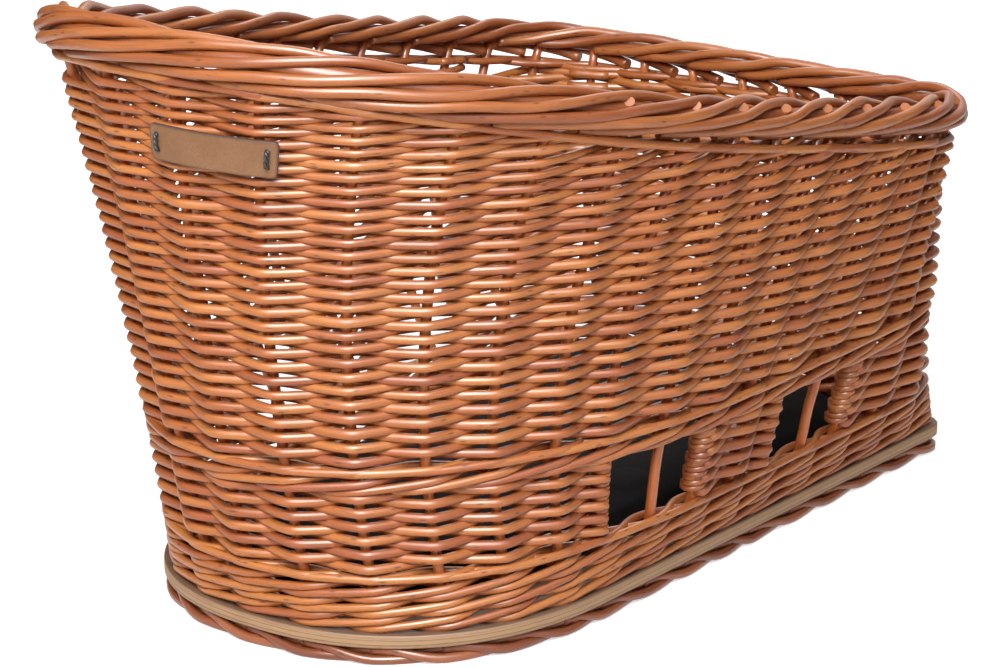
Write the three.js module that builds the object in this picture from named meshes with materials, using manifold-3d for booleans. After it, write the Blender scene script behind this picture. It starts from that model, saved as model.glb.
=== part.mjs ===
// Bicycle pet basket of woven willow: upright stakes set in a plywood board, bands of weave round them,
// a rolled border on the rim, a foot border under the board, a floor cushion and a laced leather label.
// Millimetres, +Z up. The tall rounded front faces -X, and Z = 0 is the flat underside of the foot border.

import * as THREE from "three";
import { mergeVertices } from "three/addons/utils/BufferGeometryUtils.js";
import Module from "manifold-3d";

const wasm = await Module();
wasm.setup();

// Fits
const GAP = 0.3; // between pieces that touch
const STAKE_CLEARANCE = 0.3; // round a stake in its channel and in its hole
const CUSHION_CLEARANCE = 4; // between the cushion and the wall round it

// Willow rods
const STAKE = 6; // diameter of an upright
const WEAVER = 4.4; // diameter of a rod woven round the uprights
const WEAVE_RELIEF = 1.6; // how far a row sits back where it passes behind a stake
const WEAVE_WAIST = 6; // thickness of the upper weave halfway between two stakes, where its rods cross

// Board, with a rounded front and square back corners
const BOARD_LENGTH = 531;
const BOARD_WIDTH = 276;
const BOARD_THICKNESS = 8;
const BOARD_NOSE = 155; // length of the rounded front
const BOARD_NOSE_POWER = 2.3; // 2 is an ellipse, more is squarer
const BOARD_CORNER = 18; // radius of the back corners
const BOARD_BACK = 303; // back edge, measured from the middle of the basket
const BOARD_LEDGE = 2.5; // how far the board shows past the wall
const WALL_CORNER = 35; // radius of the wall's back corners on the board

// Wall at the heads of the windows, over its outer face
const WAIST_LENGTH = 537;
const WAIST_WIDTH = 333;
const WAIST_NOSE = 285;
const WAIST_NOSE_POWER = 2.23;
const WAIST_CORNER = 92;
const WAIST_BACK = 290;

// Rim, along the middle of its border
const RIM_LENGTH = 567;
const RIM_WIDTH = 359;
const RIM_NOSE = 283;
const RIM_NOSE_POWER = 2.44;
const RIM_TAIL = 230; // length of the rounded back
const RIM_TAIL_POWER = 6;
const RIM_BACK = 275.4;
const RIM_FRONT_HEIGHT = 368.5; // top of the border, above the ground
const RIM_MIDDLE_HEIGHT = 301.5;
const RIM_BACK_HEIGHT = 249;

// Bands, from the ground up
const FOOT_HEIGHT = 10.5;
const FOOT_INSET = 7; // from the board's edge to the middle of the foot border
const FOOT_FLAT = 1.4; // depth of the flat on the foot border's underside
const FOOT_GROOVE = 1.2; // depth of the grooves between its rods
const FOOT_RODS = 3;
const FOOT_LAY = -1; // which way its rods turn, from the front along the left side
const LOWER_WALE = 37.5;
const LOWER_WALE_ROWS = 3;
const WINDOW_HEIGHT = 48;
const WINDOW_ROWS = 10;
const MIDDLE_WALE = 18;
const MIDDLE_WALE_ROWS = 2;
const UPPER_ROWS = 15;
const TOP_WALE = 12;
const TOP_WALE_ROWS = 2;
const BORDER = 23; // diameter of the rolled border
const BORDER_GROOVE = 2.6;
const BORDER_RODS = 4;
const BORDER_LAY = 1;
const WALE_PERIOD = 3; // a wale rod passes in front of two stakes and behind the third

// Stakes: bays each side of the middle of the front, then along each side, then round to the back
const FRONT_BAYS = 6;
const FRONT_BAY = 33.7;
const SIDE_BAYS = 6;
const SIDE_BAY = 34.2;
const BACK_BAYS = 6;
const RIM_FRONT_BAY = 54;
const RIM_SIDE_BAY = 43.4;
const RIM_LEAN = 12; // how far the stakes lean at the rim, along the left side at the front
const WINDOW_BAYS = 2;
const STAKE_END = 1; // from a stake's lower end to the board's underside
const STAKE_SAG = 1.4; // most that the straight facets of a stake leave its curve
const STAKE_SIDES = 5;

// Cushion
const CUSHION_THICKNESS = 26; // at its sewn edge
const CUSHION_CROWN = 5; // rise of its middle over the edge
const CUSHION_EDGE = 9; // rounding of its edge
const CUSHION_PULL = 3; // how far its sides draw in between the ends
const CUSHION_POINTS = 28;

// Label
const LABEL_LENGTH = 73;
const LABEL_HEIGHT = 20.5;
const LABEL_THICKNESS = 2.4;
const LABEL_CORNER = 3;
const LABEL_MIDDLE = 303; // height of its middle above the ground
const LABEL_SLOPE = 0.03; // how far it drops along the left side
const LABEL_STATION = 0.47; // in bays from the middle of the front
const LACE = 1.6; // diameter
const LACE_STITCH = 8; // between the two holes of a stitch
const LACE_INSET = 5.5; // from a stitch to the end of the label
const LACE_CLEARANCE = 0.25;

// What follows from the sizes above
const STAKES = 2 * (FRONT_BAYS + SIDE_BAYS + BACK_BAYS);
const WALL = STAKE + 2 * WEAVER;
const BOARD_BOTTOM = FOOT_HEIGHT;
const BOARD_TOP = BOARD_BOTTOM + BOARD_THICKNESS;
const SILL = BOARD_TOP + LOWER_WALE;
const HEAD = SILL + WINDOW_HEIGHT;
const WAIST_TOP = HEAD + MIDDLE_WALE;

// A plan outline, closed and mirrored about X: a rounded front, straight sides, rounded back corners
// and a straight back. It starts at the middle of the front and runs along the left side first, at -Y.
class Outline extends THREE.Curve {
  constructor(sizes) {
    super();
    this.sizes = sizes;
    this.arcLengthDivisions = 960;
  }

  getPoint(t, target = new THREE.Vector3()) {
    const { front, back, halfWidth, nose, nosePower, tail, tailWidth, tailPower } = this.sizes;
    const side = t < 0.5 ? -1 : 1;
    const way = 8 * Math.min(t, 1 - t);
    const stretch = Math.min(3, Math.floor(way));
    const share = way - stretch;
    const sine = Math.sin((share * Math.PI) / 2);
    const cosine = Math.max(0, Math.cos((share * Math.PI) / 2));
    if (stretch === 0)
      return target.set(
        front + nose * (1 - cosine ** (2 / nosePower)),
        side * halfWidth * sine ** (2 / nosePower),
        0,
      );
    if (stretch === 1)
      return target.set(THREE.MathUtils.lerp(front + nose, back - tail, share), side * halfWidth, 0);
    if (stretch === 2)
      return target.set(
        back - tail * (1 - sine ** (2 / tailPower)),
        side * (halfWidth - tailWidth * (1 - cosine ** (2 / tailPower))),
        0,
      );
    return target.set(back, side * (halfWidth - tailWidth) * (1 - share), 0);
  }
}

const boardOutline = new Outline({
  front: BOARD_BACK - BOARD_LENGTH,
  back: BOARD_BACK,
  halfWidth: BOARD_WIDTH / 2,
  nose: BOARD_NOSE,
  nosePower: BOARD_NOSE_POWER,
  tail: BOARD_CORNER,
  tailWidth: BOARD_CORNER,
  tailPower: 2,
});
const wallInset = BOARD_LEDGE + WALL / 2;
const footOutline = new Outline({
  front: BOARD_BACK - BOARD_LENGTH + wallInset,
  back: BOARD_BACK - wallInset,
  halfWidth: BOARD_WIDTH / 2 - wallInset,
  nose: BOARD_NOSE - wallInset,
  nosePower: BOARD_NOSE_POWER,
  tail: WALL_CORNER,
  tailWidth: WALL_CORNER,
  tailPower: 2,
});
const waistOutline = new Outline({
  front: WAIST_BACK - WAIST_LENGTH + WALL / 2,
  back: WAIST_BACK - WALL / 2,
  halfWidth: WAIST_WIDTH / 2 - WALL / 2,
  nose: WAIST_NOSE,
  nosePower: WAIST_NOSE_POWER,
  tail: WAIST_CORNER,
  tailWidth: WAIST_CORNER,
  tailPower: 2,
});
const rimOutline = new Outline({
  front: RIM_BACK - RIM_LENGTH,
  back: RIM_BACK,
  halfWidth: RIM_WIDTH / 2,
  nose: RIM_NOSE,
  nosePower: RIM_NOSE_POWER,
  tail: RIM_TAIL,
  tailWidth: RIM_WIDTH / 2,
  tailPower: RIM_TAIL_POWER,
});

// Each stake's share of the way round the foot and round the rim, where the bays are wider at the front
function stakeShares(outline, frontBay, sideBay) {
  const halfRound = outline.getLength() / 2;
  const backBay = (halfRound - FRONT_BAYS * frontBay - SIDE_BAYS * sideBay) / BACK_BAYS;
  const bays = [];
  for (let bay = 0; bay < STAKES / 2; bay++)
    bays.push(bay < FRONT_BAYS ? frontBay : bay < FRONT_BAYS + SIDE_BAYS ? sideBay : backBay);
  const shares = [0];
  for (const bay of [...bays, ...bays.toReversed()]) shares.push(shares.at(-1) + bay / (2 * halfRound));
  return shares;
}

function shareAt(shares, station) {
  const turned = THREE.MathUtils.euclideanModulo(station, STAKES);
  const stake = Math.min(STAKES - 1, Math.floor(turned));
  const share = THREE.MathUtils.lerp(shares[stake], shares[stake + 1], turned - stake);
  return THREE.MathUtils.clamp(share, 0, 1);
}

const footShares = stakeShares(footOutline, FRONT_BAY, SIDE_BAY);
const rimShares = stakeShares(rimOutline, RIM_FRONT_BAY, RIM_SIDE_BAY);
const rimLean = RIM_LEAN / rimOutline.getLength();
const footShare = (station) => shareAt(footShares, station);
const leaningShare = (station) => shareAt(rimShares, station) + rimLean;
const pointAt = (outline, share) => outline.getPointAt(THREE.MathUtils.euclideanModulo(share, 1));

// Height of the top of the border: a gentle sweep down from the front to the back
function rimTop(station) {
  const share = (pointAt(rimOutline, leaningShare(station)).x - RIM_BACK) / RIM_LENGTH + 1;
  return (
    RIM_FRONT_HEIGHT * (1 - share) * (1 - 2 * share) +
    RIM_MIDDLE_HEIGHT * 4 * share * (1 - share) +
    RIM_BACK_HEIGHT * share * (2 * share - 1)
  );
}

// The middle of the wall at a station, in stakes from the middle of the front, and a height: a smooth
// sweep from the board through the waist to the rim
function wallMiddle(station, z) {
  const rimZ = rimTop(station) - BORDER / 2;
  const [footTurn, rimTurn] = [footShare(station), leaningShare(station)];
  const waistTurn = THREE.MathUtils.lerp(footTurn, rimTurn, (HEAD - BOARD_TOP) / (rimZ - BOARD_TOP));
  const foot = pointAt(footOutline, footTurn);
  const waist = pointAt(waistOutline, waistTurn);
  const rim = pointAt(rimOutline, rimTurn);
  const point = new THREE.Vector3(0, 0, z);
  point.addScaledVector(foot, ((z - HEAD) * (z - rimZ)) / ((BOARD_TOP - HEAD) * (BOARD_TOP - rimZ)));
  point.addScaledVector(waist, ((z - BOARD_TOP) * (z - rimZ)) / ((HEAD - BOARD_TOP) * (HEAD - rimZ)));
  point.addScaledVector(rim, ((z - BOARD_TOP) * (z - HEAD)) / ((rimZ - BOARD_TOP) * (rimZ - HEAD)));
  return point;
}

const NEARBY = 0.05; // in bays, for directions along the wall

function wallOut(station, z) {
  const along = wallMiddle(station + NEARBY, z).sub(wallMiddle(station - NEARBY, z));
  return new THREE.Vector3(along.y, -along.x, 0).normalize();
}

function wallPoint(station, z, offset) {
  return wallMiddle(station, z).addScaledVector(wallOut(station, z), offset);
}

// Solids
function solidOf(geometry) {
  const bare = geometry.clone().deleteAttribute("normal").deleteAttribute("uv");
  const merged = mergeVertices(bare, 1e-4);
  return new wasm.Manifold(
    new wasm.Mesh({
      numProp: 3,
      vertProperties: merged.attributes.position.array,
      triVerts: new Uint32Array(merged.index.array),
    }),
  );
}

function geometryOf(solid) {
  const { numProp, vertProperties, triVerts } = solid.getMesh();
  const positions = [];
  for (let vertex = 0; vertex < vertProperties.length; vertex += numProp)
    positions.push(...vertProperties.subarray(vertex, vertex + 3));
  const geometry = new THREE.BufferGeometry();
  geometry.setAttribute("position", new THREE.Float32BufferAttribute(positions, 3));
  geometry.setIndex([...triVerts]);
  geometry.computeVertexNormals();
  return geometry;
}

const cut = (geometry, ...tools) =>
  geometryOf(tools.reduce((solid, tool) => solid.subtract(tool), solidOf(geometry)));

// Triangles over the flat loop that ends a loft, facing the way given
function capTriangles(loop, facing) {
  const along = loop[1].clone().sub(loop[0]).normalize();
  const across = facing.clone().cross(along).normalize();
  const flat = loop.map((point) => new THREE.Vector2(point.dot(along), point.dot(across)));
  return THREE.ShapeUtils.triangulateShape(flat, []).map(([a, b, c]) => {
    const turn = flat[b].clone().sub(flat[a]).cross(flat[c].clone().sub(flat[a]));
    return turn > 0 ? [a, b, c] : [a, c, b];
  });
}

// A skin over loops of points, each loop joined to the next. A closed loft joins its last loop to its
// first. An open one has flat ends that face the way the loft starts and ends.
function loft(loops, ends) {
  const count = loops[0].length;
  const index = [];
  const joins = ends ? loops.length - 1 : loops.length;
  for (let loop = 0; loop < joins; loop++) {
    const next = (loop + 1) % loops.length;
    for (let point = 0; point < count; point++) {
      const after = (point + 1) % count;
      const [a, b] = [loop * count + point, loop * count + after];
      const [d, c] = [next * count + point, next * count + after];
      index.push(a, d, b, b, d, c);
    }
  }
  if (ends) {
    const last = (loops.length - 1) * count;
    for (const triangle of capTriangles(loops[0], ends[0])) index.push(...triangle);
    for (const triangle of capTriangles(loops.at(-1), ends[1]))
      index.push(...triangle.map((point) => point + last));
  }
  const geometry = new THREE.BufferGeometry();
  geometry.setAttribute(
    "position",
    new THREE.Float32BufferAttribute(loops.flat().flatMap((point) => point.toArray()), 3),
  );
  geometry.setIndex(index);
  geometry.computeVertexNormals();
  return geometry;
}

// Stakes
class StakeLine extends THREE.Curve {
  constructor(station, bottom, top) {
    super();
    Object.assign(this, { station, bottom, top });
  }

  getPoint(t, target = new THREE.Vector3()) {
    return target.copy(wallMiddle(this.station, THREE.MathUtils.lerp(this.bottom, this.top, t)));
  }
}

function roundSection(radius, sides) {
  const section = new THREE.Shape();
  for (let side = 0; side < sides; side++) {
    const turn = (2 * Math.PI * side) / sides;
    section[side ? "lineTo" : "moveTo"](radius * Math.cos(turn), radius * Math.sin(turn));
  }
  return section;
}

function rod(path, diameter, steps, sides) {
  return new THREE.ExtrudeGeometry(roundSection(diameter / 2, sides), { steps, extrudePath: path });
}

const borderBottom = (station) => rimTop(station) - BORDER;
const upperTop = (station) => borderBottom(station) - TOP_WALE;

// How far a stake bows from the straight line between its ends sets its number of facets
function stakeBow(station) {
  const line = new StakeLine(station, BOARD_BOTTOM, borderBottom(station));
  const chord = line.getPoint(0).add(line.getPoint(1)).multiplyScalar(0.5);
  return chord.distanceTo(line.getPoint(0.5));
}

const stations = Array.from({ length: STAKES }, (_, station) => station);
const stakeSteps = Math.ceil(Math.sqrt(Math.max(...stations.map(stakeBow)) / STAKE_SAG));

function stake(station, diameter) {
  const line = new StakeLine(station, BOARD_BOTTOM + STAKE_END, borderBottom(station) - STAKE_END);
  return rod(line, diameter, stakeSteps, STAKE_SIDES);
}

// The room that the stakes need in the board and the bands, running past both of their ends
const roomDiameter = (STAKE + 2 * STAKE_CLEARANCE) / Math.cos(Math.PI / STAKE_SIDES);
const rooms = stations.map((station) => {
  const line = new StakeLine(station, BOARD_BOTTOM - STAKE, borderBottom(station) + STAKE);
  return solidOf(rod(line, roomDiameter, stakeSteps, STAKE_SIDES));
});
const stakeRoom = rooms.reduce((all, room) => all.add(room));

// Bands of weave
const randing = (stakeNumber, row) => (stakeNumber + row) % 2 === 0;
const waling = (stakeNumber, row) => (stakeNumber + row) % WALE_PERIOD !== 0;
const INNER_STEP = 100; // height of the facets on the inner face

// A point of a band, which runs straight from each stake to the next
function bandPoint(station, lower, upper, share, offset) {
  const before = Math.floor(station);
  const [start, end] = [before, before + 1].map((stake) =>
    wallPoint(stake, THREE.MathUtils.lerp(lower(stake), upper(stake), share), offset),
  );
  return start.lerp(end, station - before);
}

function bandLoop(station, lower, upper, rows, innerRows, isProud) {
  const stakeNumber = THREE.MathUtils.euclideanModulo(Math.round(station), STAKES);
  const isWaist = Math.abs(station - Math.round(station)) === 0.5;
  const half = (isWaist ? WEAVE_WAIST : WALL) / 2;
  const loop = [];
  for (let row = 0; row <= rows; row++) {
    const offset = half - (isWaist || isProud(stakeNumber, row) ? 0 : WEAVE_RELIEF);
    loop.push(bandPoint(station, lower, upper, row / rows, offset));
  }
  for (let row = innerRows; row >= 0; row--)
    loop.push(bandPoint(station, lower, upper, row / innerRows, -half));
  return loop;
}

function band(lower, upper, rows, isProud, places = stations, isPanel = false) {
  const innerRows = Math.ceil((upper(0) - lower(0)) / INNER_STEP);
  const loops = places.map((station) => bandLoop(station, lower, upper, rows, innerRows, isProud));
  if (!isPanel) return cut(loft(loops), stakeRoom);
  const facing = (station, way) => {
    const out = wallOut(station, HEAD);
    return new THREE.Vector3(-out.y, out.x, 0).multiplyScalar(way);
  };
  return cut(loft(loops, [facing(places[0], -1), facing(places.at(-1), 1)]), stakeRoom);
}

const level = (height) => () => height;

// A panel of the window band, wrapped round the stake at each of its ends
function windowPanel(firstStake, lastStake) {
  const wrap = (STAKE / 2 + WEAVER) / SIDE_BAY;
  const panel = [firstStake - wrap];
  for (let station = firstStake; station <= lastStake; station++) panel.push(station);
  panel.push(lastStake + wrap);
  return band(level(SILL + GAP), level(HEAD), WINDOW_ROWS, randing, panel, true);
}

// A border of rods laid round each other. A rod crosses the top at each stake.
const BORDER_STEPS = 2; // loops a bay

function rolledBorder(middle, diameter, rods, groove, lay) {
  const loops = [];
  for (let step = 0; step < STAKES * BORDER_STEPS; step++) {
    const station = step / BORDER_STEPS;
    const { centre, out } = middle(station);
    const loop = [];
    for (let point = 0; point < 2 * rods; point++) {
      const turn = Math.PI / 2 + (2 * Math.PI * (lay * station + point / 2)) / rods;
      const radius = diameter / 2 - (point % 2 ? groove : 0);
      const place = centre.clone().addScaledVector(out, radius * Math.cos(turn));
      place.z += radius * Math.sin(turn);
      loop.push(place);
    }
    loops.push(loop);
  }
  return loft(loops);
}

function rimBorder() {
  const middle = (station) => ({
    centre: wallMiddle(station, rimTop(station) - BORDER / 2),
    out: wallOut(station, rimTop(station) - BORDER / 2),
  });
  return rolledBorder(middle, BORDER, BORDER_RODS, BORDER_GROOVE, BORDER_LAY);
}

function footBorder() {
  const diameter = FOOT_HEIGHT - GAP + FOOT_FLAT;
  const middle = (station) => ({
    centre: wallPoint(station, BOARD_TOP, wallInset - FOOT_INSET).setZ(diameter / 2 - FOOT_FLAT),
    out: wallOut(station, BOARD_TOP),
  });
  const ground = new THREE.BoxGeometry(2 * BOARD_LENGTH, 2 * BOARD_WIDTH, 2 * FOOT_HEIGHT);
  ground.translate(0, 0, -FOOT_HEIGHT);
  return cut(rolledBorder(middle, diameter, FOOT_RODS, FOOT_GROOVE, FOOT_LAY), solidOf(ground));
}

// Board
const BOARD_POINTS = 64;

function board() {
  const points = boardOutline.getSpacedPoints(BOARD_POINTS).slice(0, -1);
  const shape = new THREE.Shape(points.map((point) => new THREE.Vector2(point.x, point.y)));
  const plate = new THREE.ExtrudeGeometry(shape, { depth: BOARD_THICKNESS, bevelEnabled: false });
  plate.translate(0, 0, BOARD_BOTTOM);
  return cut(plate, stakeRoom);
}

// Cushion: a pad on the board, inside the wall at the board and at the waist, that lifts out past the border
const cushionInset = WALL / 2 + CUSHION_CLEARANCE;
const footSizes = footOutline.sizes;
const waistSizes = waistOutline.sizes;
const borderInset = BORDER / 2 + CUSHION_CLEARANCE;
const cushionOutline = new Outline({
  front: Math.max(footSizes.front, waistSizes.front) + cushionInset,
  back: Math.min(Math.min(footSizes.back, waistSizes.back) - cushionInset, RIM_BACK - borderInset),
  halfWidth: Math.min(footSizes.halfWidth, waistSizes.halfWidth) - cushionInset,
  nose: WAIST_NOSE - cushionInset,
  nosePower: BOARD_NOSE_POWER,
  tail: WAIST_CORNER - cushionInset,
  tailWidth: WAIST_CORNER - cushionInset,
  tailPower: 2,
});

function cushionLoop(z, inset) {
  const { front, back, halfWidth } = cushionOutline.sizes;
  const middle = new THREE.Vector3((front + back) / 2, 0, 0);
  return cushionOutline.getSpacedPoints(CUSHION_POINTS).slice(0, -1).map((point) => {
    const place = point.clone().sub(middle);
    const along = place.x / ((back - front) / 2);
    const pull = CUSHION_PULL * Math.max(0, 1 - along * along);
    place.x *= 1 - inset / ((back - front) / 2);
    place.y *= 1 - (inset + pull) / halfWidth;
    return place.add(middle).setZ(z);
  });
}

function cushion() {
  const bottom = BOARD_TOP + GAP;
  const loops = [];
  const crownSteps = 4;
  const halfWidth = cushionOutline.sizes.halfWidth;
  for (let step = 1; step <= crownSteps; step++) {
    const share = step / (crownSteps + 1);
    const rise = CUSHION_CROWN * (1 - share ** 2);
    const inset = (halfWidth - CUSHION_EDGE) * (1 - share) + CUSHION_EDGE;
    loops.push(cushionLoop(bottom + CUSHION_THICKNESS + rise, inset));
  }
  for (const turn of [0, 45, 90].map(THREE.MathUtils.degToRad))
    loops.push(
      cushionLoop(
        bottom + CUSHION_THICKNESS - CUSHION_EDGE * (1 - Math.cos(turn)),
        CUSHION_EDGE * (1 - Math.sin(turn)),
      ),
    );
  for (const turn of [90, 45, 0].map(THREE.MathUtils.degToRad))
    loops.push(
      cushionLoop(bottom + CUSHION_EDGE * (1 - Math.cos(turn)), CUSHION_EDGE * (1 - Math.sin(turn))),
    );
  return loft(loops, [new THREE.Vector3(0, 0, 1), new THREE.Vector3(0, 0, -1)]);
}

// Label: a strip of leather bent to the wall, with rounded corners, held by a stitch at each end
const labelBay = wallMiddle(0.5, LABEL_MIDDLE).distanceTo(wallMiddle(-0.5, LABEL_MIDDLE));
const labelBack = WALL / 2 + GAP;
const labelFace = labelBack + LABEL_THICKNESS;
const labelStation = (distance) => LABEL_STATION + distance / labelBay;
const labelLevel = (distance) => LABEL_MIDDLE - LABEL_SLOPE * distance;

function labelLoop(distance, height) {
  const station = labelStation(distance);
  const [low, high] = [labelLevel(distance) - height / 2, labelLevel(distance) + height / 2];
  return [
    wallPoint(station, low, labelFace),
    wallPoint(station, high, labelFace),
    wallPoint(station, high, labelBack),
    wallPoint(station, low, labelBack),
  ];
}

function stitchHoles(distance) {
  const station = labelStation(distance);
  return [-1, 1].map((side) => {
    const z = labelLevel(distance) + (side * LACE_STITCH) / 2;
    const path = new THREE.LineCurve3(
      wallPoint(station, z, labelBack - LABEL_THICKNESS),
      wallPoint(station, z, labelFace + LABEL_THICKNESS),
    );
    return solidOf(rod(path, (LACE + 2 * LACE_CLEARANCE) / Math.cos(Math.PI / 6), 1, 6));
  });
}

const stitchPlace = LABEL_LENGTH / 2 - LACE_INSET;

function label() {
  const half = LABEL_LENGTH / 2;
  const distances = [];
  for (const turn of [0, 45, 90].map(THREE.MathUtils.degToRad))
    distances.push(-half + LABEL_CORNER * (1 - Math.cos(turn)));
  const plainSteps = 6;
  for (let step = 1; step < plainSteps; step++)
    distances.push((half - LABEL_CORNER) * ((2 * step) / plainSteps - 1));
  for (const distance of distances.slice(0, 3).toReversed()) distances.push(-distance);
  const heights = distances.map((distance) => {
    const into = Math.max(0, Math.abs(distance) - (half - LABEL_CORNER));
    const kept = Math.sqrt(Math.max(0, LABEL_CORNER ** 2 - into ** 2));
    return LABEL_HEIGHT - 2 * (LABEL_CORNER - kept);
  });
  const loops = distances.map((distance, step) => labelLoop(distance, heights[step]));
  const start = loops[0][0].clone().sub(loops[1][0]);
  const end = loops.at(-1)[0].clone().sub(loops.at(-2)[0]);
  return cut(loft(loops, [start, end]), ...stitchHoles(-stitchPlace), ...stitchHoles(stitchPlace));
}

// A lace stitch: out through one hole, up the face of the label and in through the other
function lace(distance) {
  const station = labelStation(distance);
  const over = labelFace + GAP + LACE / 2;
  const [low, high] = [labelLevel(distance) - LACE_STITCH / 2, labelLevel(distance) + LACE_STITCH / 2];
  const points = [
    wallPoint(station, low, labelBack),
    wallPoint(station, low, labelFace),
    wallPoint(station, low + LACE / 2, over),
    wallPoint(station, high - LACE / 2, over),
    wallPoint(station, high, labelFace),
    wallPoint(station, high, labelBack),
  ];
  return rod(new THREE.CatmullRomCurve3(points), LACE, 9, 6);
}

// Finishes
const finish = (color, roughness) => new THREE.MeshStandardMaterial({ color, roughness, metalness: 0 });
const willow = finish(0xb5682f, 0.45);
const stakeWillow = finish(0xa85c28, 0.5);
const footWillow = finish(0x8a4526, 0.5);
const plywood = finish(0xb89a6b, 0.75);
const blackCloth = finish(0x17171a, 0.9);
const tanLeather = finish(0xb07c4a, 0.6);
const darkLace = finish(0x2a211c, 0.7);

// Assembly
const basket = new THREE.Group();

function add(name, geometry, material) {
  const mesh = new THREE.Mesh(geometry, material);
  mesh.name = name;
  basket.add(mesh);
}

const firstWindow = FRONT_BAYS;
const firstPier = firstWindow + WINDOW_BAYS;
const secondWindow = FRONT_BAYS + SIDE_BAYS - WINDOW_BAYS;
const backPier = FRONT_BAYS + SIDE_BAYS;

add("base_board", board(), plywood);
add("foot_border", footBorder(), footWillow);
for (const station of stations)
  add("stake_" + String(station + 1).padStart(2, "0"), stake(station, STAKE), stakeWillow);
add("lower_wale", band(level(BOARD_TOP + GAP), level(SILL), LOWER_WALE_ROWS, waling), willow);
add("window_weave_front", windowPanel(-firstWindow, firstWindow), willow);
add("window_weave_left", windowPanel(firstPier, secondWindow), willow);
add("window_weave_back", windowPanel(backPier, STAKES - backPier), willow);
add("window_weave_right", windowPanel(STAKES - secondWindow, STAKES - firstPier), willow);
add("middle_wale", band(level(HEAD + GAP), level(WAIST_TOP), MIDDLE_WALE_ROWS, waling), willow);
const halfBays = stations.flatMap((station) => [station, station + 0.5]);
add("upper_weave", band(level(WAIST_TOP + GAP), upperTop, UPPER_ROWS, randing, halfBays), willow);
add(
  "top_wale",
  band((station) => upperTop(station) + GAP, (station) => borderBottom(station) - GAP, TOP_WALE_ROWS, waling),
  willow,
);
add("rim_border", rimBorder(), willow);
add("floor_cushion", cushion(), blackCloth);
add("leather_label", label(), tanLeather);
add("label_lace_left", lace(stitchPlace), darkLace);
add("label_lace_right", lace(-stitchPlace), darkLace);

export default basket;
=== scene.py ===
"""Looks of a bicycle pet basket of woven willow: every rod of the weave, the rolled rim, the foot border,
the plywood board, a black floor cushion and a laced leather label. Metres, +Z up, the tall front at -X."""

import math

import bpy
import numpy as np
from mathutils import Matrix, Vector


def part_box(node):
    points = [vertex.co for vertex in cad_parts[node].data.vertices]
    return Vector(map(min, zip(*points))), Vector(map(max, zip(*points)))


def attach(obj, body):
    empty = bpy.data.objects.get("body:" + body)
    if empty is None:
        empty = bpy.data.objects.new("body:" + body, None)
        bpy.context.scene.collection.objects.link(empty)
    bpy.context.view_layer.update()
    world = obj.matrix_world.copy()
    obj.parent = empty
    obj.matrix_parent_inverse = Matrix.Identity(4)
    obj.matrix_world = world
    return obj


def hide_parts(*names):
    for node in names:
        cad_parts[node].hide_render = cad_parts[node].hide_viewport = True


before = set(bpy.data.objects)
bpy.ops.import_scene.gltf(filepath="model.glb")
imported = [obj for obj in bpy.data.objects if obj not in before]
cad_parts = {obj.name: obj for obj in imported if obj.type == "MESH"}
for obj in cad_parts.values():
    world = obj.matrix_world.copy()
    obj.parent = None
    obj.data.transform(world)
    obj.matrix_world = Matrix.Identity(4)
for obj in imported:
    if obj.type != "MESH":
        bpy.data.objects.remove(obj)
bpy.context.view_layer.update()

MM = 0.001
dice = np.random.default_rng(36)

# Camera: its place, the way it looks and its lens
CAMERA_PLACE = Vector((-1601.9, -1238.0, 770.6)) * MM
CAMERA_HEADING = 0.657  # radians from +X towards +Y
CAMERA_PITCH = 0.308  # radians below the horizon
SENSOR = 36.0
LENS = 127.2

# Willow rods
STAKE = 6 * MM
WALE_ROD = 4.8 * MM
BORDER_ROD = 6.2 * MM
BORDER_CORE = 11 * MM
FOOT_ROD = 5.4 * MM

# Board
BOARD_LENGTH = 531 * MM
BOARD_WIDTH = 276 * MM
BOARD_NOSE = 155 * MM
BOARD_NOSE_POWER = 2.3
BOARD_CORNER = 18 * MM
BOARD_BACK = 303 * MM
BOARD_LEDGE = 2.5 * MM
BOARD_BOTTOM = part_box("base_board")[0].z
BOARD_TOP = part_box("base_board")[1].z
WALL = 14.8 * MM
WALL_CORNER = 8 * MM
WALL_INSET = BOARD_LEDGE + WALL / 2

# Wall at the heads of the windows, over its outer face
WAIST_LENGTH = 537 * MM
WAIST_WIDTH = 333 * MM
WAIST_NOSE = 285 * MM
WAIST_NOSE_POWER = 2.23
WAIST_CORNER = 80 * MM
WAIST_BACK = 290 * MM

# Rim, along the middle of its border
RIM_LENGTH = 567 * MM
RIM_WIDTH = 359 * MM
RIM_NOSE = 283 * MM
RIM_NOSE_POWER = 2.44
RIM_TAIL = 230 * MM
RIM_TAIL_POWER = 6
RIM_BACK = 275.4 * MM
RIM_FRONT_HEIGHT = 368.5 * MM
RIM_MIDDLE_HEIGHT = 301.5 * MM
RIM_BACK_HEIGHT = 249 * MM
BORDER = 23 * MM

# Levels
SILL = 56 * MM
HEAD = 104 * MM
LOWER_WALE_ROUNDS = 4
MIDDLE_WALE = 18 * MM
MIDDLE_WALE_ROUNDS = 2
TOP_WALE = 9 * MM

# Stakes
FRONT_BAYS = 6
FRONT_BAY = 38.4 * MM
SIDE_BAYS = 6
SIDE_BAY = 38.5 * MM
BACK_BAYS = 6  # from the last window to the middle of the back
CORNER_BAYS = 3  # those of them up to the back corner
RIM_FRONT_BAY = 54 * MM
RIM_SIDE_BAY = 43.4 * MM
RIM_LEAN = 12 * MM  # how far the stakes lean at the rim
CORNER_ROOM = 0.495  # how much of the way behind the windows lies before the back corner
WAIST_LEAN = -0.2  # how much of their lean the stakes have taken at the waist, beside a straight line
WINDOW_BAYS = 2
FIRST_EDGE = 6 * MM  # how far the stakes at the windows' front edges stand towards the front
SECOND_EDGE = 9 * MM  # the same at the second window
HALF_ROUND = FRONT_BAYS + SIDE_BAYS + BACK_BAYS
STAKES = 2 * HALF_ROUND

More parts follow.
